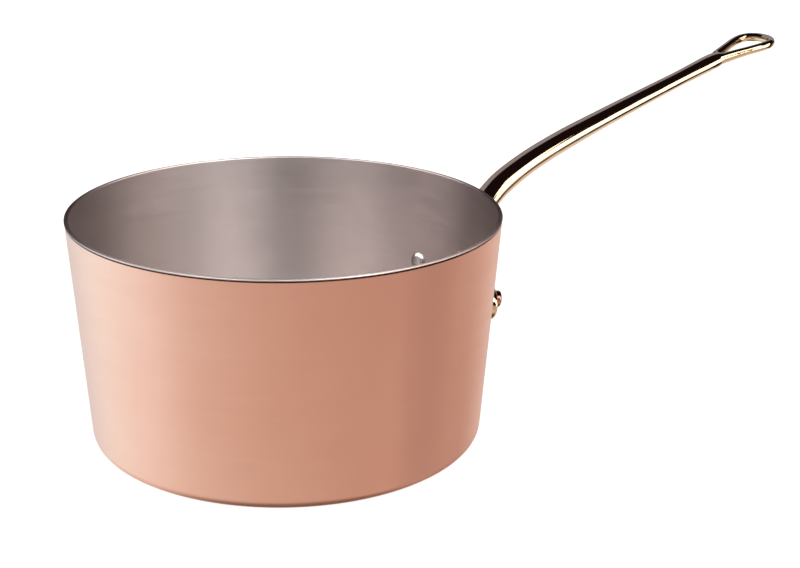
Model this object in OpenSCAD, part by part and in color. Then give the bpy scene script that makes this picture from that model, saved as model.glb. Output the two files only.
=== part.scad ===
// Copper saucepan: a clad pan with a long cast handle, held by three rivets.
// Origin at the centre of the base's underside, +Z up, +X along the handle. Millimetres.

/* [Pan] */
// Outer diameter at the rim
rim_d = 240; // [234:1:250]
// Outer diameter of the wall where it would meet the base
base_d = 221; // [212:1:226]
// Height from the base to the rim
pan_h = 128.5; // [120:0.5:140]
// Outer radius of the corner between base and wall
corner_r = 6.5; // [4:0.5:8]

/* [Wall layers] */
// Thickness of the copper outer shell
copper_t = 0.6; // [0.4:0.1:0.9]
// Thickness of the aluminium core
core_t = 1.2; // [0.8:0.1:1.6]
// Thickness of the steel lining and of its turned-out rim
lining_t = 0.5; // [0.3:0.1:0.8]

/* [Rivets] */
// Angle round the pan from the handle to each side rivet
rivet_spread = 19.7; // [18:0.1:21]
// Depth of the two side rivets below the rim
side_drop = 57; // [55:0.5:59]
// Depth of the centre rivet below the rim
centre_drop = 46; // [45:0.5:47]
// Diameter of a rivet's shank
rivet_d = 6; // [5:0.5:6.5]
// Diameter of a rivet's outer head
head_d = 9.6; // [9:0.1:10.4]
// Height of a rivet's outer head
head_h = 3.3; // [2.8:0.1:4]
// Diameter of the steel cap on a rivet's inner end
cap_d = 10.5; // [9.5:0.1:11.5]
// Height of the steel cap
cap_h = 2.6; // [2.2:0.1:3]

/* [Handle] */
// Thickness of the riveting flange
flange_t = 5; // [4.5:0.25:5.5]
// Distance from the rim to the tip of the hanging loop
handle_reach = 219.5; // [200:0.5:230]
// Outer width of the hanging loop
loop_w = 31; // [28:0.5:34]
// Width of the bar that forms the loop
loop_bar_w = 5.2; // [4.8:0.1:5.8]
// Height of the bar that forms the loop
loop_bar_h = 5.6; // [5:0.1:6.2]

/* [Hidden] */
$fn = 360;

rim_r = rim_d / 2;
base_r = base_d / 2;
wall_t = copper_t + core_t + lining_t;
lean = atan((rim_r - base_r) / pan_h);

// The shank of each rivet has a little room in its bores, and enters its cap by cap_seat.
bore_gap = 0.05;
cap_seat = 1.2;

// Bezier points of the handle's centre line in the XZ plane: [out from the rim, up from the rim].
reach_k = handle_reach / 219.5;
neck = [[-3.6, -52], [-0.2, -14.6], [15.7, -4], [33 * reach_k, 5.9]];
shank = [[33 * reach_k, 5.9], [59 * reach_k, 20.7], [113.8 * reach_k, 37.8], [182 * reach_k, 61.4]];
loop = [[174 * reach_k, 58.6], [189 * reach_k, 64.2], [203 * reach_k, 68.4],
        [handle_reach - loop_bar_w / 2, 70.8]];

// Half the handle's width and half its height, by the distance out from the rim.
half_w = [[-4, 12], [10, 9.5], [33, 8.8], [68, 8], [119, 6.5], [150, 5.8], [172, 6.4], [182, 6]];
half_h = [[-4, 3], [-1, 3.4], [3, 4.7], [10, 6.2], [22, 6.5], [35, 6.2], [68, 5.9], [90, 5.3], [150, 4.45],
          [172, 4.8], [178, 4.5], [182, 3.9]];

neck_steps = 12;
shank_steps = 18;
handle_sides = 20;
loop_steps = 34;
loop_sides = 14;
// The loop's two arms start inside the end of the shank, this far round from the middle.
loop_start = 35;

// Outer radius of the wall at height z.
function wall_r(z) = base_r + (rim_r - base_r) * z / pan_h;

function bezier(p, t) =
    pow(1 - t, 3) * p[0] + 3 * t * pow(1 - t, 2) * p[1] + 3 * t * t * (1 - t) * p[2] + pow(t, 3) * p[3];

function unit(v) = v / norm(v);

function bezier_dir(p, t) =
    unit(pow(1 - t, 2) * (p[1] - p[0]) + 2 * t * (1 - t) * (p[2] - p[1]) + t * t * (p[3] - p[2]));

// A point given as [out from the rim, up from the rim], in the part's own frame.
function rim_point(p, y = 0) = [rim_r + p[0], y, pan_h + p[1]];

// One ring of a swept bar: an ellipse round centre c, on the half axes u and v.
function ring(c, u, v, sides) =
    [for (j = [0 : sides - 1]) let (a = 360 * j / sides) c + u * cos(a) + v * sin(a)];

// Joins rings of equal length into one bar, closed by a fan of triangles at each end.
module sweep(rings) {
    n = len(rings[0]);
    last = len(rings) - 1;
    first_tip = len(rings) * n;
    ring_points = [for (r = rings) for (p = r) p];
    tips = [for (r = [rings[0], rings[last]]) (r[0] + r[n / 2]) / 2];
    lower = [for (i = [0 : last - 1]) for (j = [0 : n - 1]) let (k = (j + 1) % n)
        [i * n + j, (i + 1) * n + k, i * n + k]];
    upper = [for (i = [0 : last - 1]) for (j = [0 : n - 1]) let (k = (j + 1) % n)
        [i * n + j, (i + 1) * n + j, (i + 1) * n + k]];
    ends = [for (j = [0 : n - 1]) let (k = (j + 1) % n)
        each [[j, k, first_tip], [last * n + j, first_tip + 1, last * n + k]]];
    polyhedron(concat(ring_points, tips), concat(lower, upper, ends), convexity = 6);
}

// Solid profile of the pan, thickness t in from its outside, up to the height top.
module cup_profile(t, top) {
    corner_x = wall_r(corner_r) - corner_r / cos(lean);
    r = corner_r - t;
    translate([corner_x, corner_r]) circle(r);
    polygon([[0, t], [corner_x, t], [corner_x + r * cos(lean), corner_r - r * sin(lean)],
             [wall_r(top) - t / cos(lean), top], [0, top]]);
}

// The layer of the pan between the thicknesses t0 and t1, up to the height top.
module layer(t0, t1, top) {
    rotate_extrude() difference() {
        cup_profile(t0, top);
        cup_profile(t1, top + 1);
    }
}

// Places its children on the outside of the wall, with +Z pointing out of the pan.
module at_rivet(turn, drop) {
    rotate([0, 0, turn])
        translate([wall_r(pan_h - drop), 0, pan_h - drop])
            rotate([0, 90 + lean, 0]) children();
}

module at_all_rivets() {
    at_rivet(-rivet_spread, side_drop) children();
    at_rivet(0, centre_drop) children();
    at_rivet(rivet_spread, side_drop) children();
}

module rivet_bore() {
    translate([0, 0, -2 * wall_t]) cylinder(h = 2 * wall_t + 3 * flange_t, d = rivet_d + 2 * bore_gap);
}

// A round head on a short straight edge, with its flat side at z = 0.
module domed_head(d, h, edge) {
    rise = h - edge;
    ball_r = (rise * rise + d * d / 4) / (2 * rise);
    cylinder(h = edge, d = d);
    intersection() {
        translate([0, 0, h - ball_r]) sphere(ball_r);
        translate([0, 0, edge / 2]) cylinder(h = h, d = d);
    }
}

module copper_shell() {
    color("#d79a7c") difference() {
        layer(0, copper_t, pan_h - lining_t);
        at_all_rivets() rivet_bore();
    }
}

module aluminium_core() {
    color("#b9bcc0") difference() {
        layer(copper_t, copper_t + core_t, pan_h - lining_t);
        at_all_rivets() rivet_bore();
    }
}

// The lining turns out over the rim and covers the edges of the other two layers.
module steel_lining() {
    color("#9a8f8d") difference() {
        rotate_extrude() difference() {
            union() {
                cup_profile(wall_t - lining_t, pan_h);
                intersection() {
                    cup_profile(0, pan_h);
                    translate([0, pan_h - lining_t]) square([rim_d, lining_t]);
                }
            }
            cup_profile(wall_t, pan_h + 1);
        }
        at_all_rivets() rivet_bore();
    }
}

// Outline of the flange seen along the handle: [across, up from the rim].
module flange_outline() {
    lobe_r = 9.5;
    lobe_drop = side_drop + 3;
    lobe_y = (wall_r(pan_h - side_drop) + flange_t / 2) * sin(rivet_spread);
    neck_y = 12;
    neck_top = 24;
    waist_r = 24;
    for (s = [-1, 1]) translate([s * lobe_y, -lobe_drop]) circle(lobe_r);
    difference() {
        polygon([[-neck_y, -neck_top], [neck_y, -neck_top], [lobe_y + 3, -lobe_drop + lobe_r - 0.5],
                 [lobe_y, -lobe_drop - lobe_r], [-lobe_y, -lobe_drop - lobe_r],
                 [-lobe_y - 3, -lobe_drop + lobe_r - 0.5]]);
        for (s = [-1, 1]) translate([s * (neck_y + waist_r), -neck_top + 4]) circle(waist_r);
        translate([0, -side_drop - 62]) circle(56);
    }
}

module flange() {
    intersection() {
        rotate_extrude() difference() {
            translate([flange_t / cos(lean), 0]) cup_profile(0, pan_h);
            square([rim_r / 2, 3 * pan_h], center = true);
        }
        translate([rim_r / 2, 0, pan_h]) rotate([90, 0, 90])
            linear_extrude(rim_r) flange_outline();
    }
}

module handle_bar() {
    stations = concat(
        [for (i = [0 : neck_steps]) [bezier(neck, i / neck_steps), bezier_dir(neck, i / neck_steps)]],
        [for (i = [1 : shank_steps]) [bezier(shank, i / shank_steps), bezier_dir(shank, i / shank_steps)]]);
    sweep([for (s = stations)
        ring(rim_point(s[0]), [0, lookup(s[0][0] / reach_k, half_w), 0],
             lookup(s[0][0] / reach_k, half_h) * [-s[1][1], 0, s[1][0]], handle_sides)]);
}

// Place of the loop's bar, a degrees round from the end of the shank.
function loop_place(a) =
    let (t = (1 - cos(a)) / 2, bulge = sin(a) * (0.74 - 0.66 * cos(a) + 0.24 * pow(cos(a), 2)))
    rim_point(bezier(loop, t), (loop_w - loop_bar_w) / 2 * bulge);

function loop_ring(a) =
    let (d = bezier_dir(loop, (1 - cos(a)) / 2), up = [-d[1], 0, d[0]],
         along = unit(loop_place(a + 1) - loop_place(a - 1)))
    ring(loop_place(a), loop_bar_w / 2 * cross(up, along), loop_bar_h / 2 * (1 + 0.35 * max(0, cos(a))) * up, loop_sides);

module hanging_loop() {
    sweep([for (i = [0 : loop_steps]) loop_ring(loop_start + (360 - 2 * loop_start) * i / loop_steps)]);
}

module handle() {
    color("#8a6f3d") difference() {
        union() {
            flange();
            handle_bar();
            hanging_loop();
        }
        rotate_extrude() cup_profile(0, pan_h + 1);
        at_all_rivets() rivet_bore();
    }
}

module rivet(turn, drop) {
    color("#8c4a35") {
        at_rivet(turn, drop) translate([0, 0, -wall_t - cap_seat])
            cylinder(h = wall_t + cap_seat + flange_t + 1, d = rivet_d);
        difference() {
            at_rivet(turn, drop) translate([0, 0, flange_t - 1]) domed_head(head_d, head_h + 1, 2);
            rotate([0, 0, 180]) rotate_extrude() difference() {
                translate([flange_t / cos(lean), 0]) cup_profile(0, pan_h);
                square([rim_r / 2, 3 * pan_h], center = true);
            }
        }
    }
}

module rivet_cap(turn, drop) {
    color("#c9c9cc") difference() {
        intersection() {
            at_rivet(turn, drop) mirror([0, 0, 1]) translate([0, 0, wall_t - 1])
                domed_head(cap_d, cap_h + 1, 1.4);
            rotate_extrude() cup_profile(wall_t, pan_h);
        }
        at_rivet(turn, drop) translate([0, 0, -wall_t - cap_seat - bore_gap])
            cylinder(h = 2 * wall_t, d = rivet_d + 2 * bore_gap);
    }
}

copper_shell();
aluminium_core();
steel_lining();
handle();
rivet(rivet_spread, side_drop);  // rivet_left
rivet(0, centre_drop);  // rivet_centre
rivet(-rivet_spread, side_drop);  // rivet_right
rivet_cap(rivet_spread, side_drop);  // rivet_cap_left
rivet_cap(0, centre_drop);  // rivet_cap_centre
rivet_cap(-rivet_spread, side_drop);  // rivet_cap_right
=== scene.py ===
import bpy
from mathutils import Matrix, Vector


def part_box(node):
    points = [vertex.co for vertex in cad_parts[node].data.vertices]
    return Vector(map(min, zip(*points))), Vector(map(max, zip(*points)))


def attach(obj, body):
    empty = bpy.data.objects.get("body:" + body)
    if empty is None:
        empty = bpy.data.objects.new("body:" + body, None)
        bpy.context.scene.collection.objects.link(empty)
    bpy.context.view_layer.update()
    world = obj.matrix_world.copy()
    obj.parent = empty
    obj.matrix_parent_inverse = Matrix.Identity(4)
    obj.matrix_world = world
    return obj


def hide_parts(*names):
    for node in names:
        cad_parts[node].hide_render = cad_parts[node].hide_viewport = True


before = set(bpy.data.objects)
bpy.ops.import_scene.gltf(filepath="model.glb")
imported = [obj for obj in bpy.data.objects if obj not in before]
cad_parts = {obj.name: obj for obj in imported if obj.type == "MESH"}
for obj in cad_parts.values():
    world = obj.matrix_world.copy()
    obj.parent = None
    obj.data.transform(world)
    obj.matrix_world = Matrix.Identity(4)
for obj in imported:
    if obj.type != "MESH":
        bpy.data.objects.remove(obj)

"""Copper saucepan: its visual pieces, their finishes, and the studio round them.

Lengths are in metres, in the part's own frame: +Z up, +X along the handle, origin under the base.
"""

import logging
import math
from dataclasses import dataclass, field
from enum import Enum

import bmesh
import bpy
from mathutils import Matrix, Vector
from mathutils.geometry import interpolate_bezier

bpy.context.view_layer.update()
MM = 0.001
FULL_TURN = 2 * math.pi
FULL_CIRCLE = 360.0
ROOT = "root"
WRAP = "wrap"
log = logging.getLogger("saucepan")

Colour = tuple[float, float, float]
Point = tuple[float, float]
Socket = bpy.types.NodeSocket

# Sockets of a Mix node that mixes colours.
MIX_LOW, MIX_HIGH, MIX_OUT = 6, 7, 2

# Ranges of a noise pattern's values that the marks on the metal come from.
USUAL = (0.3, 0.7)
RUBBED = (0.52, 0.72)
AXIS_GUARD = 1e-5

# How finely a turned outline is cut.
ROUND_STEPS = 6
LONG_EDGE = 12 * MM
LONG_CUTS = 11
MERGE = 1e-6


# ---------------------------------------------------------------- node helpers


class Nodes:
    """Adds and links the nodes of one tree."""

    def __init__(self, tree: bpy.types.NodeTree) -> None:
        """Wraps a tree.

        Args:
            tree: The tree that takes the nodes.
        """
        self.tree = tree

    def add(
        self, kind: str, links: dict | None = None, values: dict | None = None, **props: object,
    ) -> bpy.types.Node:
        """Adds one node.

        Args:
            kind: The node's type name.
            links: Input name or number to the socket that feeds it.
            values: Input name or number to its fixed value.
            **props: The node's own settings.

        Returns:
            The new node.
        """
        node = self.tree.nodes.new(kind)
        for name, value in props.items():
            setattr(node, name, value)
        for key, value in (values or {}).items():
            node.inputs[key].default_value = value
        for key, socket in (links or {}).items():
            self.tree.links.new(socket, node.inputs[key])
        return node

    def math(self, operation: str, a: Socket | float, b: Socket | float | None = None) -> Socket:
        """Adds a Math node.

        Args:
            operation: The node's operation.
            a: A socket or a number.
            b: A socket or a number, where the operation has two.

        Returns:
            The node's output.
        """
        node = self.tree.nodes.new("ShaderNodeMath")
        node.operation = operation
        for index, value in enumerate((a, b)):
            if isinstance(value, Socket):
                self.tree.links.new(value, node.inputs[index])
            elif value is not None:
                node.inputs[index].default_value = value
        return node.outputs[0]

    def spread(
        self, value: Socket, low: float, high: float, out_low: float = 0.0, out_high: float = 1.0,
    ) -> Socket:
        """Maps a value smoothly from one range to another.

        Args:
            value: The socket to map.
            low: Start of the range that it comes from.
            high: End of that range.
            out_low: Start of the range that it goes to.
            out_high: End of that range.

        Returns:
            The mapped socket.
        """
        node = self.add("ShaderNodeMapRange", {0: value}, {1: low, 2: high, 3: out_low, 4: out_high})
        node.interpolation_type = "SMOOTHSTEP"
        return node.outputs[0]

    def noise(self, vector: Socket, detail: float, rough: float, scale: float = 1.0) -> Socket:
        """Adds a noise pattern.

        Args:
            vector: The coordinates it reads.
            detail: Its octaves.
            rough: How strong the fine octaves are.
            scale: Its scale.

        Returns:
            The pattern's value.
        """
        values = {"Scale": scale, "Detail": detail, "Roughness": rough}
        return self.add("ShaderNodeTexNoise", {"Vector": vector}, values).outputs[0]

    def blend(self, mask: Socket, low: Socket | Colour, high: Socket | Colour) -> Socket:
        """Mixes two colours.

        Args:
            mask: The socket that says how much of the second shows.
            low: A colour or a socket.
            high: A colour or a socket.

        Returns:
            The mixed colour.
        """
        node = self.add("ShaderNodeMix", {0: mask}, data_type="RGBA")
        for index, value in ((MIX_LOW, low), (MIX_HIGH, high)):
            if isinstance(value, Socket):
                self.tree.links.new(value, node.inputs[index])
            else:
                node.inputs[index].default_value = (*value, 1.0)
        return node.outputs[MIX_OUT]


def new_group(name: str, inputs: dict[str, float], outputs: list[str]) -> tuple[Nodes, dict, dict]:
    """Starts a shader node group that reads a Vector and some numbers.

    Args:
        name: The group's name.
        inputs: Number inputs and their usual values.
        outputs: Names of the values that it puts out.

    Returns:
        The group's nodes, its input sockets by name, and the sockets that take its results.
    """
    tree = bpy.data.node_groups.new(name, "ShaderNodeTree")
    tree.interface.new_socket("Vector", in_out="INPUT", socket_type="NodeSocketVector")
    for key, value in inputs.items():
        tree.interface.new_socket(key, in_out="INPUT", socket_type="NodeSocketFloat").default_value = value
    for key in outputs:
        tree.interface.new_socket(key, in_out="OUTPUT", socket_type="NodeSocketFloat")
    nodes = Nodes(tree)
    start = nodes.add("NodeGroupInput")
    end = nodes.add("NodeGroupOutput")
    return nodes, {s.name: s for s in start.outputs}, {s.name: s for s in end.inputs}


def turned_lines_group() -> bpy.types.NodeTree:
    """Builds the fine lines that brushing leaves round a turned piece.

    Returns:
        A group that puts out Lines and broader Streaks, from 0 to 1.
    """
    sizes = {"Density": 900.0, "Length": 2.0}
    nodes, source, target = new_group("turned_lines", sizes, ["Lines", "Streaks"])
    part = nodes.add("ShaderNodeSeparateXYZ", {0: source["Vector"]})
    x, y, z = part.outputs
    square = nodes.math("ADD", nodes.math("MULTIPLY", x, x), nodes.math("MULTIPLY", y, y))
    radius = nodes.math("MAXIMUM", nodes.math("SQRT", square), AXIS_GUARD)
    across = nodes.math("MULTIPLY", nodes.math("ADD", z, radius), source["Density"])
    cos = nodes.math("MULTIPLY", nodes.math("DIVIDE", x, radius), source["Length"])
    sin = nodes.math("MULTIPLY", nodes.math("DIVIDE", y, radius), source["Length"])
    place = nodes.add("ShaderNodeCombineXYZ", {0: cos, 1: sin, 2: across}).outputs[0]
    fine = nodes.noise(place, detail=3.0, rough=0.65)
    wide = nodes.add("ShaderNodeMapping", {"Vector": place}, {"Scale": (1.7, 1.7, 0.11)}).outputs[0]
    broad = nodes.noise(wide, detail=2.0, rough=0.5)
    for name, value in (("Lines", fine), ("Streaks", broad)):
        nodes.tree.links.new(nodes.spread(value, *USUAL), target[name])
    return nodes.tree


def handling_group() -> bpy.types.NodeTree:
    """Builds the faint clouds and small rubbed spots that handling leaves on metal.

    Returns:
        A group that puts out Clouds and Rubs, from 0 to 1.
    """
    nodes, source, target = new_group("handling", {"Clouds": 14.0, "Rubs": 160.0}, ["Clouds", "Rubs"])
    sizes = {}
    for name in ("Clouds", "Rubs"):
        scale = nodes.add("ShaderNodeVectorMath", {0: source["Vector"], 3: source[name]}, operation="SCALE")
        sizes[name] = scale.outputs[0]
    clouds = nodes.noise(sizes["Clouds"], detail=3.0, rough=0.45)
    rubs = nodes.noise(sizes["Rubs"], detail=4.0, rough=0.6)
    nodes.tree.links.new(nodes.spread(clouds, *USUAL), target["Clouds"])
    nodes.tree.links.new(nodes.spread(rubs, *RUBBED), target["Rubs"])
    return nodes.tree


def edge_wear_group() -> bpy.types.NodeTree:
    """Builds the mask of the edges that rubbing brightens.

    Returns:
        A group that puts out Wear, from 0 to 1.
    """
    nodes, source, target = new_group("edge_wear", {"Low": 0.5, "High": 0.6}, ["Wear"])
    shape = nodes.add("ShaderNodeNewGeometry")
    patches = nodes.noise(source["Vector"], detail=3.0, rough=0.6, scale=220.0)
    patchy = nodes.spread(patches, *USUAL, out_low=0.55)
    limits = {0: shape.outputs["Pointiness"], 1: source["Low"], 2: source["High"]}
    edge = nodes.add("ShaderNodeMapRange", limits)
    nodes.tree.links.new(nodes.math("MULTIPLY", edge.outputs[0], patchy), target["Wear"])
    return nodes.tree


# -------------------------------------------------------------------- finishes


class Grain(Enum):
    """How a finish's brushing runs."""

    TURNED = "round the pan"
    POLISHED = "no brushing, only faint marks"


@dataclass(frozen=True)
class MetalFinish:
    """A metal surface with its brushing, clouds, rubs and worn edges. Its bump is in millimetres."""

    name: str
    colour: Colour
    shade: Colour
    worn: Colour
    roughness: float
    roughness_range: float
    grain: Grain = Grain.TURNED
    line_density: float = 900.0
    line_length: float = 2.0
    line_bump: float = 0.02
    anisotropy: float = 0.0
    clouds: float = 14.0
    rubs: float = 160.0
    wear_low: float = 0.52
    wear_high: float = 0.62
    streak_tint: float = 0.35
    line_grain: float = 0.7
    cloud_grain: float = 0.5
    rub_grain: float = 0.3
    rub_height: float = 0.15
    bump_strength: float = 0.35
    quarter_turn: float = 0.25

    def build(self, groups: dict[str, bpy.types.NodeTree]) -> bpy.types.Material:
        """Makes the material.

        Args:
            groups: The shared node groups by name.

        Returns:
            The finished material.
        """
        material = bpy.data.materials.new(self.name)
        material.use_nodes = True
        material.node_tree.nodes.clear()
        nodes = Nodes(material.node_tree)
        place = nodes.add("ShaderNodeTexCoord").outputs["Object"]
        handling = self.use(nodes, groups["handling"], place, {"Clouds": self.clouds, "Rubs": self.rubs})
        wear = self.use(nodes, groups["edge_wear"], place, {"Low": self.wear_low, "High": self.wear_high})
        colour = nodes.blend(handling.outputs["Clouds"], self.colour, self.shade)
        height = handling.outputs["Rubs"]
        grain = nodes.math("MULTIPLY", handling.outputs["Clouds"], self.cloud_grain)
        if self.grain is Grain.TURNED:
            sizes = {"Density": self.line_density, "Length": self.line_length}
            lines = self.use(nodes, groups["turned_lines"], place, sizes)
            streak = nodes.math("MULTIPLY", lines.outputs["Streaks"], self.streak_tint)
            colour = nodes.blend(streak, colour, self.shade)
            grain = nodes.math("MULTIPLY", lines.outputs["Lines"], self.line_grain)
            rubbed = nodes.math("MULTIPLY", height, self.rub_height)
            height = nodes.math("ADD", lines.outputs["Lines"], rubbed)
        colour = nodes.blend(wear.outputs["Wear"], colour, self.worn)
        rubs = nodes.math("MULTIPLY", handling.outputs["Rubs"], self.rub_grain)
        mixed = nodes.math("ADD", grain, rubs)
        low = self.roughness - self.roughness_range
        high = self.roughness + self.roughness_range
        rough = nodes.add("ShaderNodeMapRange", {0: mixed}, {3: low, 4: high}).outputs[0]
        depth = {"Strength": self.bump_strength, "Distance": self.line_bump * MM}
        bump = nodes.add("ShaderNodeBump", {"Height": height}, depth)
        shader = nodes.add(
            "ShaderNodeBsdfPrincipled",
            {"Base Color": colour, "Roughness": rough, "Normal": bump.outputs[0]},
            {"Metallic": 1.0},
        )
        if self.anisotropy:
            wrap = nodes.add("ShaderNodeTangent", direction_type="UV_MAP", uv_map=WRAP)
            nodes.tree.links.new(wrap.outputs[0], shader.inputs["Tangent"])
            shader.inputs["Anisotropic"].default_value = self.anisotropy
            shader.inputs["Anisotropic Rotation"].default_value = self.quarter_turn
        nodes.add("ShaderNodeOutputMaterial", {"Surface": shader.outputs[0]})
        return material

    @staticmethod
    def use(
        nodes: Nodes, group: bpy.types.NodeTree, place: Socket, values: dict[str, float],
    ) -> bpy.types.Node:
        """Places a shared group.

        Args:
            nodes: The material's nodes.
            group: The group to place.
            place: The coordinates that it reads.
            values: Its number inputs.

        Returns:
            The group's node.
        """
        node = nodes.add("ShaderNodeGroup", node_tree=group)
        nodes.tree.links.new(place, node.inputs["Vector"])
        for key, value in values.items():
            node.inputs[key].default_value = value
        return node


COPPER = MetalFinish(
    "satin_copper", (0.94, 0.60, 0.48), (0.92, 0.56, 0.44), (0.96, 0.70, 0.58), 0.38, 0.03,
    line_bump=0.004, anisotropy=0.3,
)
# Painted shade: the core shows only in the groove under the lining's lip, and its dark red-brown colour
# stands in for the shade in that groove, not the aluminium's own colour.
CORE = MetalFinish(
    "groove_painted_shade", (0.20, 0.08, 0.06), (0.12, 0.05, 0.04), (0.3, 0.26, 0.25), 0.5, 0.08, line_bump=0.01,
)
STEEL = MetalFinish(
    "brushed_lining", (0.62, 0.55, 0.54), (0.55, 0.49, 0.48), (0.86, 0.74, 0.71), 0.41, 0.05,
    line_density=1400.0, line_bump=0.004, anisotropy=0.82,
)
BRASS = MetalFinish(
    "polished_brass", (0.84, 0.68, 0.44), (0.80, 0.63, 0.39), (0.93, 0.80, 0.58), 0.09, 0.03,
    grain=Grain.POLISHED, line_bump=0.001, clouds=30.0, wear_low=0.56, wear_high=0.7,
)
RIVET_COPPER = MetalFinish(
    "rivet_copper", (0.62, 0.27, 0.18), (0.44, 0.17, 0.11), (0.86, 0.5, 0.38), 0.2, 0.06,
    grain=Grain.POLISHED, line_bump=0.01, clouds=240.0, rubs=900.0,
)
RIVET_STEEL = MetalFinish(
    "rivet_steel", (0.78, 0.77, 0.76), (0.66, 0.65, 0.64), (0.9, 0.9, 0.9), 0.34, 0.05,
    grain=Grain.POLISHED, line_bump=0.01, clouds=240.0, rubs=900.0,
)


# ------------------------------------------------------------------ mesh tools


def new_piece(name: str, mesh: bmesh.types.BMesh) -> bpy.types.Object:
    """Turns a bmesh into a smooth shaded object at the origin.

    Args:
        name: The piece's name.
        mesh: Its shape, which is freed.

    Returns:
        The new object.
    """
    data = bpy.data.meshes.new(name)
    mesh.to_mesh(data)
    mesh.free()
    data.shade_smooth()
    piece = bpy.data.objects.new(name, data)
    bpy.context.scene.collection.objects.link(piece)
    return piece


def apply_modifiers(piece: bpy.types.Object) -> None:
    """Makes a piece's modifiers part of its mesh.

    Args:
        piece: The piece to finish.
    """
    graph = bpy.context.evaluated_depsgraph_get()
    data = bpy.data.meshes.new_from_object(piece.evaluated_get(graph))
    piece.modifiers.clear()
    old = piece.data
    piece.data = data
    data.name = piece.name
    bpy.data.meshes.remove(old)


def spun(corners: list[Point], rounds: dict[int, float], steps: int) -> bmesh.types.BMesh:
    """Turns an outline round the Z axis.

    Args:
        corners: The outline's corners, as distance from the axis and height, from axis to axis.
        rounds: Corner number to the length that its rounding takes off each side.
        steps: How many steps the full turn has.

    Returns:
        The turned shape, closed, with its faces pointing out.
    """
    mesh = bmesh.new()
    points = [mesh.verts.new((x, 0.0, z)) for x, z in corners]
    for start, end in zip(points, points[1:]):
        mesh.edges.new((start, end))
    for index, size in rounds.items():
        bmesh.ops.bevel(
            mesh, geom=[points[index]], offset=size, offset_type="OFFSET", segments=ROUND_STEPS,
            profile=0.5, affect="VERTICES", material=-1,
        )
    rows = [e for e in mesh.edges if e.calc_length() > LONG_EDGE]
    bmesh.ops.subdivide_edges(mesh, edges=rows, cuts=LONG_CUTS)
    bmesh.ops.spin(
        mesh, geom=mesh.verts[:] + mesh.edges[:], cent=(0, 0, 0), axis=(0, 0, 1), angle=FULL_TURN,
        steps=steps, use_merge=True,
    )
    bmesh.ops.remove_doubles(mesh, verts=mesh.verts, dist=MERGE)
    bmesh.ops.recalc_face_normals(mesh, faces=mesh.faces)
    return mesh


def add_wrap(mesh: bmesh.types.BMesh, scale: float) -> None:
    """Gives a turned shape a UV map: U round the axis, V along the height and the radius.

    Args:
        mesh: The turned shape.
        scale: The size that V is measured in.
    """
    layer = mesh.loops.layers.uv.new(WRAP)
    for face in mesh.faces:
        centre = face.calc_center_median()
        middle = math.atan2(centre.y, centre.x)
        for loop in face.loops:
            co = loop.vert.co
            turn = math.atan2(co.y, co.x) if co.xy.length > MERGE else middle
            turn += FULL_TURN * round((middle - turn) / FULL_TURN)
            loop[layer].uv = (turn / FULL_TURN, (co.z + co.xy.length) / scale)


# ---------------------------------------------------------------- the pan body


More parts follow.
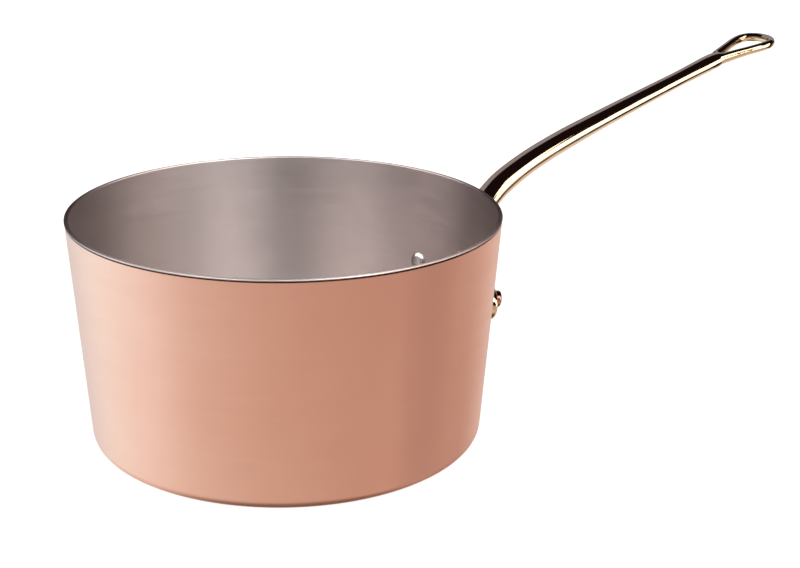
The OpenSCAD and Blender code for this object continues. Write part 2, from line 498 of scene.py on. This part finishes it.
@dataclass
class PanBody:
    """The clad pan: copper shell, aluminium core and steel lining, each a turned piece."""

    rim_r: float
    height: float
    base_r: float = 110.5 * MM
    corner_r: float = 6.5 * MM
    copper_t: float = 0.6 * MM
    core_t: float = 1.2 * MM
    lining_t: float = 0.5 * MM
    lip_out: float = 0.1 * MM
    lip_h: float = 0.8 * MM
    lip_under_r: float = 0.2 * MM
    lip_outer_r: float = 0.45 * MM
    lip_inner_r: float = 0.6 * MM
    groove: float = 0.55 * MM
    shell_edge: float = 0.25 * MM
    core_edge: float = 0.05 * MM
    steps: int = 256
    normal_weight: int = 80
    pieces: list[bpy.types.Object] = field(default_factory=list)

    @property
    def lean(self) -> float:
        """Angle by which the wall leans out."""
        return math.atan((self.rim_r - self.base_r) / self.height)

    @property
    def wall_t(self) -> float:
        """Thickness of the whole wall."""
        return self.copper_t + self.core_t + self.lining_t

    def wall_r(self, z: float, inset: float = 0.0) -> float:
        """Radius of the wall.

        Args:
            z: Height above the base.
            inset: Depth below the wall's outside.

        Returns:
            The radius at that height and depth.
        """
        return self.base_r + (self.rim_r - self.base_r) * z / self.height - inset / math.cos(self.lean)

    def corner_cut(self, inset: float) -> float:
        """Length that the base corner's rounding takes off each side.

        Args:
            inset: Depth below the outside.

        Returns:
            The length along the base and along the wall.
        """
        half = (math.pi / 2 + self.lean) / 2
        return (self.corner_r - inset) / math.tan(half)

    def layer(self, outer: float, inner: float, top: float, edge: float) -> bmesh.types.BMesh:
        """Builds one layer of the wall and base.

        Args:
            outer: Depth of its outer face below the pan's outside.
            inner: Depth of its inner face.
            top: Height of its upper edge.
            edge: Size of the rounding on that edge.

        Returns:
            The layer's shape.
        """
        corners = [
            (0.0, outer), (self.wall_r(outer, outer), outer), (self.wall_r(top, outer), top),
            (self.wall_r(top, inner), top), (self.wall_r(inner, inner), inner), (0.0, inner),
        ]
        rounds = {1: self.corner_cut(outer), 2: edge, 3: edge, 4: self.corner_cut(inner)}
        return spun(corners, rounds, self.steps)

    def lining(self) -> bmesh.types.BMesh:
        """Builds the lining, which turns out over the rim in a rounded lip.

        Returns:
            The lining's shape.
        """
        outer, inner, top = self.wall_t - self.lining_t, self.wall_t, self.height
        under = top - self.lip_h
        corners = [
            (0.0, outer), (self.wall_r(outer, outer), outer), (self.wall_r(under, outer), under),
            (self.wall_r(under) + self.lip_out, under), (self.wall_r(top) + self.lip_out, top),
            (self.wall_r(top, inner), top), (self.wall_r(inner, inner), inner), (0.0, inner),
        ]
        rounds = {
            1: self.corner_cut(outer), 3: self.lip_under_r, 4: self.lip_outer_r, 5: self.lip_inner_r,
            6: self.corner_cut(inner),
        }
        return spun(corners, rounds, self.steps)

    def build(self) -> None:
        """Makes the three layers as pieces that stand for their CAD nodes."""
        under = self.height - self.lip_h
        core_in = self.wall_t - self.lining_t
        shapes = {
            "copper_shell": self.layer(0.0, self.copper_t, under - self.groove, self.shell_edge),
            "aluminium_core": self.layer(self.copper_t, core_in, under, self.core_edge),
            "steel_lining": self.lining(),
        }
        for node, shape in shapes.items():
            add_wrap(shape, self.height)
            piece = new_piece(f"{node}_piece", shape)
            weighted = piece.modifiers.new("normals", "WEIGHTED_NORMAL")
            weighted.weight = self.normal_weight
            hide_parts(node)
            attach(piece, ROOT)
            self.pieces.append(piece)

    def dress(self, finishes: dict[str, bpy.types.Material]) -> None:
        """Gives each layer its finish.

        Args:
            finishes: Finished materials by name.
        """
        rows = zip(self.pieces, (COPPER, CORE, STEEL), ("copper", "core", "lining"))
        for piece, finish, slot in rows:
            piece.data.materials.append(finishes[finish.name])


# ------------------------------------------------------------------ the rivets


@dataclass
class Rivets:
    """Three rivets round the flange, each a copper shank and head with a steel cap inside."""

    pan: PanBody
    spread: float = math.radians(19.7)
    side_drop: float = 57.0 * MM
    centre_drop: float = 46.0 * MM
    shank_d: float = 6.0 * MM
    flange_t: float = 5.0 * MM
    head_d: float = 9.6 * MM
    head_h: float = 3.3 * MM
    shank_past: float = 1.2 * MM
    head_sink: float = 0.3 * MM
    head_shoulder: float = 0.9 * MM
    head_crown: float = 0.55
    head_crown_drop: float = 0.12 * MM
    head_rounds: tuple[float, ...] = (0.3 * MM, 0.25 * MM, 0.85 * MM, 1.2 * MM)
    cap_d: float = 10.5 * MM
    cap_h: float = 2.6 * MM
    cap_sink: float = 0.2 * MM
    cap_side: float = 0.7 * MM
    cap_crown: float = 0.62
    cap_crown_drop: float = 0.25 * MM
    cap_rounds: tuple[float, ...] = (0.1 * MM, 1.3 * MM, 1.9 * MM)
    steps: int = 64
    heads: list[bpy.types.Object] = field(default_factory=list)
    caps: list[bpy.types.Object] = field(default_factory=list)

    def places(self) -> dict[str, tuple[float, float]]:
        """Returns each rivet's name, with its turn round the pan and its drop below the rim."""
        return {
            "left": (self.spread, self.side_drop),
            "centre": (0.0, self.centre_drop),
            "right": (-self.spread, self.side_drop),
        }

    def seat(self, turn: float, drop: float) -> Matrix:
        """Finds a rivet's place.

        Args:
            turn: Its angle round the pan from the handle.
            drop: Its depth below the rim.

        Returns:
            The matrix that puts a shape on the wall's outside, its Z pointing out.
        """
        height = self.pan.height - drop
        out = Matrix.Translation((self.pan.wall_r(height), 0.0, height))
        tip = Matrix.Rotation(math.pi / 2 + self.pan.lean, 4, "Y")
        return Matrix.Rotation(turn, 4, "Z") @ out @ tip

    def head(self) -> bmesh.types.BMesh:
        """Builds a rivet: a shank through the wall, and a thick domed head.

        Returns:
            The shape, with the wall's outside at zero height.
        """
        shank, head = self.shank_d / 2, self.head_d / 2
        low, seat = -self.pan.wall_t - self.shank_past, self.flange_t - self.head_sink
        top = self.flange_t + self.head_h
        corners = [
            (0.0, low), (shank, low), (shank, seat), (head, seat), (head, top - self.head_shoulder),
            (head * self.head_crown, top - self.head_crown_drop), (0.0, top),
        ]
        return spun(corners, dict(zip((1, 3, 4, 5), self.head_rounds)), self.steps)

    def cap(self) -> bmesh.types.BMesh:
        """Builds the smooth domed cap inside the pan.

        Returns:
            The shape, with the wall's outside at zero height.
        """
        inside, radius = -self.pan.wall_t, self.cap_d / 2
        seat, crown = inside + self.cap_sink, inside - self.cap_h
        corners = [
            (0.0, seat), (radius, seat), (radius, inside - self.cap_side),
            (radius * self.cap_crown, crown + self.cap_crown_drop), (0.0, crown),
        ]
        return spun(corners, dict(zip((1, 2, 3), self.cap_rounds)), self.steps)

    def build(self) -> None:
        """Makes each rivet and each cap as a piece that stands for its CAD node."""
        for name, (turn, drop) in self.places().items():
            for node, shape, made in (
                (f"rivet_{name}", self.head(), self.heads),
                (f"rivet_cap_{name}", self.cap(), self.caps),
            ):
                shape.transform(self.seat(turn, drop))
                piece = new_piece(f"{node}_piece", shape)
                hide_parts(node)
                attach(piece, ROOT)
                made.append(piece)

    def dress(self, finishes: dict[str, bpy.types.Material]) -> None:
        """Gives the heads and the caps their finishes.

        Args:
            finishes: Finished materials by name.
        """
        for made, finish, slot in (
            (self.heads, RIVET_COPPER, "rivet_copper"), (self.caps, RIVET_STEEL, "rivet_steel"),
        ):
            for piece in made:
                piece.data.materials.append(finishes[finish.name])


# ------------------------------------------------------------------ the handle


@dataclass(frozen=True)
class Station:
    """One cross-section of a cast bar: its centre, its half axes and its fullness."""

    centre: Vector
    side: Vector
    rise: Vector
    fullness: float = 1.0


@dataclass
class Handle:
    """The cast handle: riveting flange, neck, shank and hanging loop, melted into one piece.

    The curves and the tables of half sizes are in millimetres, out and up from the rim.
    """

    pan: PanBody
    rivets: Rivets
    lobe_end: float = 9.5 * MM
    lobe_half: float = 9.3 * MM
    lobe_drop: float = 3.0 * MM
    middle_rise: float = 12.5 * MM
    middle_swell: float = 7.0 * MM
    end_half: float = 0.2 * MM
    flange_lift: float = 1.5 * MM
    flange_half_t: float = 3.6 * MM
    flange_fullness: float = 0.42
    flange_steps: int = 41
    neck_steps: int = 22
    shank_steps: int = 40
    bar_fullness: float = 0.92
    loop_w: float = 31.0 * MM
    loop_bar_w: float = 5.2 * MM
    loop_bar_h: float = 5.6 * MM
    loop_neck_widen: float = 0.2
    loop_neck_raise: float = 0.35
    loop_bulge: tuple[float, float, float] = (0.74, -0.66, 0.24)
    loop_fullness: float = 0.9
    loop_steps: int = 72
    spine_steps: int = 400
    voxel: float = 0.55 * MM
    ease_passes: int = 12
    ease_factor: float = 0.5
    seat_gap: float = 0.03 * MM
    piece: bpy.types.Object | None = None
    neck: tuple[Point, ...] = ((-3.6, -52.0), (-0.2, -14.6), (15.7, -4.0), (33.0, 5.9))
    shank: tuple[Point, ...] = ((33.0, 5.9), (59.0, 20.7), (113.8, 37.8), (182.0, 61.4))
    loop: tuple[Point, ...] = ((174.0, 58.6), (189.0, 64.2), (203.0, 68.4), (216.9, 70.8))
    half_w: tuple[Point, ...] = (
        (-4.0, 12.0), (10.0, 9.5), (33.0, 8.8), (68.0, 8.0), (119.0, 6.5), (150.0, 5.8), (172.0, 6.4),
        (182.0, 6.0),
    )
    half_h: tuple[Point, ...] = (
        (-4.0, 3.0), (-1.0, 3.4), (3.0, 4.7), (10.0, 6.2), (22.0, 6.5), (35.0, 6.2), (68.0, 5.9),
        (90.0, 5.3), (150.0, 4.45), (172.0, 4.8), (178.0, 4.5), (182.0, 3.9),
    )

    @staticmethod
    def read(table: tuple[Point, ...], out: float) -> float:
        """Reads a size along the handle, in a straight line between the given ones.

        Args:
            table: Distance out from the rim and size there, in millimetres.
            out: The distance to read at, in millimetres.

        Returns:
            The size, in metres.
        """
        for (x0, y0), (x1, y1) in zip(table, table[1:]):
            if out <= x1:
                share = max(0.0, (out - x0) / (x1 - x0))
                return (y0 + (y1 - y0) * share) * MM
        return table[-1][1] * MM

    def rim_point(self, p: Vector, y: float = 0.0) -> Vector:
        """Returns a point given in millimetres out and up from the rim, in the part's frame."""
        return Vector((self.pan.rim_r + p.x * MM, y, self.pan.height + p.y * MM))

    def curve(self, points: tuple[Point, ...], count: int) -> list[tuple[Vector, Vector]]:
        """Follows a Bezier curve.

        Args:
            points: Its four points, in millimetres out and up from the rim.
            count: How many places to return.

        Returns:
            Each place with its direction, both as out and up.
        """
        knots = [Vector((x, y, 0.0)) for x, y in points]
        places = interpolate_bezier(*knots, count)
        ends = [places[0] * 2 - places[1], *places, places[-1] * 2 - places[-2]]
        return [(p, (ends[i + 2] - ends[i]).normalized()) for i, p in enumerate(places)]

    @staticmethod
    def cast(mesh: bmesh.types.BMesh, stations: list[Station], closed: bool, sides: int = 32) -> None:
        """Adds a bar through the given cross-sections.

        Args:
            mesh: The shape to add to.
            stations: The cross-sections in order.
            closed: Whether the last joins the first.
            sides: How many sides the bar has.
        """
        rings = []
        for index, station in enumerate(stations):
            end = not closed and index in (0, len(stations) - 1)
            made = bmesh.ops.create_circle(mesh, cap_ends=end, radius=1.0, segments=sides)["verts"]
            for vert in made:
                x, y = (math.copysign(abs(v) ** station.fullness, v) for v in vert.co.xy)
                vert.co = station.centre + station.side * x + station.rise * y
            rings.append({e for v in made for e in v.link_edges})
        pairs = list(zip(rings, rings[1:]))
        if closed:
            pairs.append((rings[-1], rings[0]))
        for first, second in pairs:
            bmesh.ops.bridge_loops(mesh, edges=list(first | second))

    def bar(self, mesh: bmesh.types.BMesh) -> None:
        """Adds the neck and the shank.

        Args:
            mesh: The shape to add to.
        """
        places = self.curve(self.neck, self.neck_steps)[:-1] + self.curve(self.shank, self.shank_steps)
        stations = []
        for place, way in places:
            side = Vector((0.0, self.read(self.half_w, place.x), 0.0))
            rise = Vector((-way.y, 0.0, way.x)) * self.read(self.half_h, place.x)
            stations.append(Station(self.rim_point(place), side, rise, self.bar_fullness))
        self.cast(mesh, stations, closed=False)

    def hanging_loop(self, mesh: bmesh.types.BMesh) -> None:
        """Adds the long teardrop loop at the handle's end.

        Args:
            mesh: The shape to add to.
        """
        count = self.loop_steps
        spine = self.curve(self.loop, self.spine_steps + 1)
        reach = (self.loop_w - self.loop_bar_w) / 2
        even, lean, bend = self.loop_bulge
        centres, rises, widths = [], [], []
        for index in range(count):
            turn = FULL_TURN * index / count
            cos = math.cos(turn)
            place, way = spine[round(self.spine_steps * (1 - cos) / 2)]
            bulge = math.sin(turn) * (even + lean * cos + bend * cos ** 2)
            neck = max(0.0, cos)
            centres.append(self.rim_point(place, reach * bulge))
            rises.append(Vector((-way.y, 0.0, way.x)) * (1 + self.loop_neck_raise * neck))
            widths.append(self.loop_bar_w / 2 * (1 + self.loop_neck_widen * neck))
        stations = []
        for index, (centre, rise, width) in enumerate(zip(centres, rises, widths)):
            along = centres[(index + 1) % count] - centres[index - 1]
            side = rise.cross(along).normalized() * width
            stations.append(Station(centre, side, rise * self.loop_bar_h / 2, self.loop_fullness))
        self.cast(mesh, stations, closed=True)

    def wall_point(self, turn: float, drop: float, lift: float) -> Vector:
        """Finds a point over the wall.

        Args:
            turn: Its angle round the pan from the handle.
            drop: Its depth below the rim.
            lift: Its distance off the wall.

        Returns:
            The point in the part's frame.
        """
        height = self.pan.height - drop
        radius = self.pan.wall_r(height) + lift
        return Vector((radius * math.cos(turn), radius * math.sin(turn), height))

    def flange(self, mesh: bmesh.types.BMesh) -> None:
        """Adds the flange: a flat band round the wall, with a round lobe at each side rivet.

        Args:
            mesh: The shape to add to.
        """
        spread = self.rivets.spread
        edge_turn = spread + self.lobe_end / self.pan.rim_r
        stations = []
        for index in range(self.flange_steps):
            share = 2 * index / (self.flange_steps - 1) - 1
            turn = edge_turn * math.sin(share * math.pi / 2)
            swell = (1 + math.cos(math.pi * min(1.0, abs(turn) / spread))) / 2
            middle = self.rivets.side_drop + self.lobe_drop - self.middle_rise * swell
            past = max(0.0, abs(turn) - spread) / (edge_turn - spread)
            full = self.lobe_half + self.middle_swell * swell ** 2
            half = full * math.sqrt(max(0.0, 1 - past * past)) + self.end_half
            out = Vector((math.cos(turn), math.sin(turn), -math.sin(self.pan.lean))).normalized()
            up = Vector((0, 0, 1)) + Vector((math.cos(turn), math.sin(turn), 0)) * math.tan(self.pan.lean)
            centre = self.wall_point(turn, middle, self.flange_lift)
            rise = out * self.flange_half_t
            stations.append(Station(centre, up.normalized() * half, rise, self.flange_fullness))
        self.cast(mesh, stations, closed=False)

    def build(self) -> None:
        """Melts flange, neck, shank and loop into one smooth casting, and seats it on the wall."""
        mesh = bmesh.new()
        self.flange(mesh)
        self.bar(mesh)
        self.hanging_loop(mesh)
        bmesh.ops.recalc_face_normals(mesh, faces=mesh.faces)
        self.piece = new_piece("handle_piece", mesh)
        melt = self.piece.modifiers.new("melt", "REMESH")
        melt.mode = "VOXEL"
        melt.voxel_size = self.voxel
        melt.use_smooth_shade = True
        apply_modifiers(self.piece)
        self.ease()
        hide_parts("handle")
        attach(self.piece, ROOT)

    def ease(self) -> None:
        """Smooths the casting and lays its back against the wall."""
        mesh = bmesh.new()
        mesh.from_mesh(self.piece.data)
        for _ in range(self.ease_passes):
            bmesh.ops.smooth_vert(
                mesh, verts=mesh.verts, factor=self.ease_factor, use_axis_x=True, use_axis_y=True,
                use_axis_z=True,
            )
        for vert in mesh.verts:
            seat = self.pan.wall_r(vert.co.z) + self.seat_gap
            radius = vert.co.xy.length
            if radius < seat and vert.co.z < self.pan.height:
                vert.co.xy *= seat / radius
        mesh.to_mesh(self.piece.data)
        mesh.free()
        self.piece.data.shade_smooth()

    def dress(self, finishes: dict[str, bpy.types.Material]) -> None:
        """Gives the handle its polished finish.

        Args:
            finishes: Finished materials by name.
        """
        self.piece.data.materials.clear()
        self.piece.data.materials.append(finishes[BRASS.name])


# ------------------------------------------------------------------ the studio


@dataclass(frozen=True)
class Panel:
    """One soft light panel. Its angles are seen from the camera, and its spans are angles too."""

    name: str
    azimuth: float
    elevation: float
    width: float
    height: float
    radiance: float
    colour: Colour = (1.0, 1.0, 1.0)
    distance: float = 1.6


@dataclass(frozen=True)
class RingStop:
    """Colours that the surroundings show at one azimuth, just below the horizon and further down."""

    azimuth: float
    high: Colour
    low: Colour


@dataclass
class Studio:
    """Camera, floor and soft light. Angles are seen from the camera: 0 is towards it, + to its right."""

    view_turn: float = math.radians(24.4)
    camera_distance: float = 0.7993
    camera_height: float = 0.3624
    camera_yaw: float = math.radians(4.585)
    camera_pitch: float = math.radians(19.135)
    camera_roll: float = math.radians(0.794)
    lens: float = 67.5
    sensor: float = 36.0
    nearest: float = 0.01
    furthest: float = 100.0
    floor_size: float = 30.0
    floor_grey: float = 0.4
    floor_glow: float = 0.85
    backdrop: float = 1.12
    low_band: tuple[float, float] = (-0.66, -0.34)
    nadir_band: tuple[float, float] = (-0.95, -0.72)
    horizon_band: tuple[float, float] = (-0.10, 0.08)
    nadir_colour: Colour = (0.16, 0.10, 0.08)
    ceiling_colour: Colour = (0.010, 0.0045, 0.006)
    ring: tuple[RingStop, ...] = (
        RingStop(-180.0, (0.92, 0.88, 0.88), (0.72, 0.64, 0.58)),
        RingStop(-150.0, (0.84, 0.94, 1.00), (0.80, 0.71, 0.67)),
        RingStop(-115.0, (1.12, 1.42, 1.52), (0.93, 0.81, 0.71)),
        RingStop(-80.0, (1.12, 1.25, 1.32), (0.87, 0.74, 0.67)),
        RingStop(-45.0, (0.78, 0.68, 0.63), (0.88, 0.77, 0.70)),
        RingStop(-10.0, (0.66, 0.50, 0.45), (0.82, 0.70, 0.60)),
        RingStop(30.0, (0.60, 0.46, 0.41), (0.74, 0.56, 0.46)),
        RingStop(62.0, (0.57, 0.43, 0.38), (0.62, 0.45, 0.38)),
        RingStop(70.0, (0.05, 0.03, 0.02), (0.05, 0.03, 0.02)),
        RingStop(101.0, (0.05, 0.03, 0.02), (0.05, 0.03, 0.02)),
        RingStop(108.0, (0.54, 0.42, 0.37), (0.31, 0.20, 0.16)),
        RingStop(125.0, (0.76, 0.62, 0.55), (0.35, 0.22, 0.17)),
        RingStop(160.0, (0.98, 0.90, 0.86), (0.66, 0.51, 0.43)),
        RingStop(180.0, (0.92, 0.88, 0.88), (0.72, 0.64, 0.58)),
    )
    handle_panels: tuple[Panel, ...] = (
        Panel("front_card", 49.0, 10.0, 48.0, 40.0, 2.4),
        Panel("loop_card", 22.0, 37.0, 26.0, 28.0, 2.4),
        Panel("low_back", -165.0, -1.0, 60.0, 18.0, 1.1, (1.0, 0.84, 0.76)),
        Panel("low_glow", 108.0, -52.0, 56.0, 38.0, 0.65, (1.0, 0.98, 1.12)),
        Panel("back_strip", 180.0, 31.0, 110.0, 32.0, 0.30, (0.97, 1.0, 1.4)),
    )
    copper_panels: tuple[Panel, ...] = (
        Panel("copper_fill", 83.0, -26.0, 42.0, 66.0, 0.45, (1.0, 0.78, 0.70)),
    )
    lining_panels: tuple[Panel, ...] = (
        Panel("left_soft", -44.0, 60.0, 36.0, 48.0, 2.62, (1.0, 1.08, 1.08)),
        Panel("right_soft", 34.0, 60.0, 32.0, 48.0, 3.6, (1.0, 1.04, 1.03)),
        Panel("right_wide", 62.0, 56.0, 28.0, 48.0, 2.5, (1.0, 1.01, 1.0)),
        Panel("left_side", -107.0, 50.0, 38.0, 50.0, 3.0, (1.0, 0.91, 0.89)),
        Panel("right_side", 98.0, 50.0, 46.0, 50.0, 3.2, (1.0, 0.89, 0.83)),
        Panel("left_far", -132.0, 48.0, 36.0, 50.0, 0.55, (1.0, 0.88, 0.85)),
        Panel("right_far", 136.0, 48.0, 38.0, 50.0, 0.6, (1.0, 0.85, 0.74)),
    )

    def to_frame(self, azimuth: float, elevation: float) -> Vector:
        """Turns an angle seen from the camera into a direction.

        Args:
            azimuth: Degrees round from the camera, to its right.
            elevation: Degrees up.

        Returns:
            The direction in the part's frame.
        """
        turn, up = math.radians(azimuth) - self.view_turn, math.radians(elevation)
        return Vector((math.sin(turn) * math.cos(up), -math.cos(turn) * math.cos(up), math.sin(up)))

    def camera(self) -> None:
        """Makes the scene's camera."""
        data = bpy.data.cameras.new("camera")
        data.lens, data.sensor_width = self.lens, self.sensor
        data.clip_start, data.clip_end = self.nearest, self.furthest
        yaw, pitch = self.camera_yaw, self.camera_pitch
        ahead = Vector((math.sin(yaw) * math.cos(pitch), math.cos(yaw) * math.cos(pitch), -math.sin(pitch)))
        right = Vector((math.cos(yaw), -math.sin(yaw), 0.0))
        axes = Matrix((right, right.cross(ahead), -ahead)).transposed().to_4x4()
        place = Matrix.Translation((0.0, -self.camera_distance, self.camera_height))
        roll = Matrix.Rotation(self.camera_roll, 4, "Z")
        camera = bpy.data.objects.new("camera", data)
        camera.matrix_world = Matrix.Rotation(-self.view_turn, 4, "Z") @ place @ axes @ roll
        bpy.context.scene.collection.objects.link(camera)
        bpy.context.scene.camera = camera

    def floor(self) -> None:
        """Makes the plain pale floor."""
        mesh = bmesh.new()
        bmesh.ops.create_grid(mesh, x_segments=1, y_segments=1, size=self.floor_size / 2)
        floor = new_piece("floor", mesh)
        material = bpy.data.materials.new("plain_floor")
        material.use_nodes = True
        shader = material.node_tree.nodes["Principled BSDF"]
        shader.inputs["Base Color"].default_value = (*[self.floor_grey] * 3, 1.0)
        shader.inputs["Emission Color"].default_value = (1.0, 1.0, 1.0, 1.0)
        shader.inputs["Emission Strength"].default_value = self.floor_glow
        shader.inputs["Roughness"].default_value = 1.0
        shader.inputs["Specular IOR Level"].default_value = 0.0
        floor.data.materials.append(material)
        floor.visible_glossy = False
        floor.visible_shadow = False

    @staticmethod
    def ramp(nodes: Nodes, share: Socket, stops: list[tuple[float, Colour]]) -> Socket:
        """Adds a smooth ramp of colours round the horizon.

        Args:
            nodes: The world's nodes.
            share: The place in the full turn, from 0 to 1.
            stops: Azimuths and colours, from -180 to 180.

        Returns:
            The ramp's colour.
        """
        node = nodes.add("ShaderNodeValToRGB", {0: share})
        node.color_ramp.interpolation = "EASE"
        elements = node.color_ramp.elements
        elements[0].position, elements[1].position = 0.0, 1.0
        elements[0].color, elements[1].color = (*stops[0][1], 1.0), (*stops[-1][1], 1.0)
        for azimuth, colour in stops[1:-1]:
            elements.new(azimuth / FULL_CIRCLE + 0.5).color = (*colour, 1.0)
        return node.outputs[0]

    def surroundings(self) -> None:
        """Makes the world: white to the eye and for the floor, a soft tinted ring in reflections."""
        world = bpy.data.worlds.new("studio")
        world.use_nodes = True
        world.node_tree.nodes.clear()
        nodes = Nodes(world.node_tree)
        way = nodes.add("ShaderNodeTexCoord").outputs["Generated"]
        spin = nodes.add("ShaderNodeVectorRotate", {0: way}, rotation_type="Z_AXIS")
        spin.inputs["Angle"].default_value = self.view_turn
        x, y, z = nodes.add("ShaderNodeSeparateXYZ", {0: spin.outputs[0]}).outputs
        turn = nodes.math("ARCTAN2", x, nodes.math("MULTIPLY", y, -1.0))
        share = nodes.math("ADD", nodes.math("DIVIDE", turn, FULL_TURN), 0.5)
        low = self.ramp(nodes, share, [(stop.azimuth, stop.low) for stop in self.ring])
        high = self.ramp(nodes, share, [(stop.azimuth, stop.high) for stop in self.ring])
        body = nodes.blend(nodes.spread(z, *self.low_band), low, high)
        ring = nodes.blend(nodes.spread(z, *self.nadir_band), self.nadir_colour, body)
        total = nodes.blend(nodes.spread(z, *self.horizon_band), ring, self.ceiling_colour)
        soft = nodes.add("ShaderNodeBackground", {"Color": total}, {"Strength": 1.0})
        plain_white = {"Color": (1.0, 1.0, 1.0, 1.0), "Strength": self.backdrop}
        white = nodes.add("ShaderNodeBackground", values=plain_white)
        ray = nodes.add("ShaderNodeLightPath")
        plain = nodes.math("MAXIMUM", ray.outputs["Is Camera Ray"], ray.outputs["Is Diffuse Ray"])
        mix = nodes.add("ShaderNodeMixShader", {0: plain, 1: soft.outputs[0], 2: white.outputs[0]})
        nodes.add("ShaderNodeOutputWorld", {0: mix.outputs[0]})
        bpy.context.scene.world = world

    def hang(self, panel: Panel, aim: Vector, lit: bpy.types.Collection) -> None:
        """Makes one light panel, which only the given pieces reflect and the camera doesn't see.

        Args:
            panel: The panel to make.
            aim: The point that it faces.
            lit: The pieces that it lights.
        """
        data = bpy.data.lights.new(panel.name, "AREA")
        data.shape = "RECTANGLE"
        data.size, data.size_y = (
            2 * panel.distance * math.tan(math.radians(span) / 2) for span in (panel.width, panel.height)
        )
        data.energy = panel.radiance * math.pi * data.size * data.size_y
        data.color = panel.colour
        light = bpy.data.objects.new(panel.name, data)
        way = self.to_frame(panel.azimuth, panel.elevation)
        turn = way.to_track_quat("Z", "Y").to_matrix().to_4x4()
        light.matrix_world = Matrix.Translation(aim + way * panel.distance) @ turn
        light.visible_camera = False
        light.light_linking.receiver_collection = lit
        bpy.context.scene.collection.objects.link(light)

    def light(
        self, name: str, panels: tuple[Panel, ...], aim: Vector, pieces: list[bpy.types.Object],
    ) -> None:
        """Hangs a set of panels for some pieces.

        Args:
            name: The name of the set.
            panels: The panels.
            aim: The point that they face.
            pieces: The pieces that they light.
        """
        lit = bpy.data.collections.new(name)
        for piece in pieces:
            lit.objects.link(piece)
        for panel in panels:
            self.hang(panel, aim, lit)

    def tone(self) -> None:
        """Sets plain colour handling, so that white stays white."""
        bpy.context.scene.view_settings.view_transform = "Standard"
        bpy.context.scene.view_settings.look = "None"


# ------------------------------------------------------------------------ main


def main() -> None:
    """Builds the camera, the pan, the rivets and the handle, and lights them."""
    logging.basicConfig(level=logging.INFO, format="%(name)s: %(message)s")
    studio = Studio()
    studio.camera()
    groups = {
        "turned_lines": turned_lines_group(), "handling": handling_group(), "edge_wear": edge_wear_group(),
    }
    metals = (COPPER, CORE, STEEL, BRASS, RIVET_COPPER, RIVET_STEEL)
    finishes = {metal.name: metal.build(groups) for metal in metals}
    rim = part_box("steel_lining")[1]
    pan = PanBody(rim_r=rim.x, height=rim.z)
    rivets = Rivets(pan)
    handle = Handle(pan, rivets)
    for assembly in (pan, rivets, handle):
        assembly.build()
        assembly.dress(finishes)
    studio.floor()
    studio.surroundings()
    grip_low, grip_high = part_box("handle")
    grip = (grip_low + grip_high) / 2
    studio.light("handle_lit", studio.handle_panels, grip, [handle.piece, *rivets.heads])
    inside = Vector((0.0, 0.0, pan.height / 2))
    studio.light("copper_lit", studio.copper_panels, inside, [pan.pieces[0]])
    studio.light("lining_lit", studio.lining_panels, inside, [pan.pieces[-1], *rivets.caps])
    studio.tone()
    for piece in (*pan.pieces, *rivets.heads, *rivets.caps, handle.piece):
        log.info("%s: %d faces", piece.name, len(piece.data.polygons))


if __name__ == "__main__":
    main()
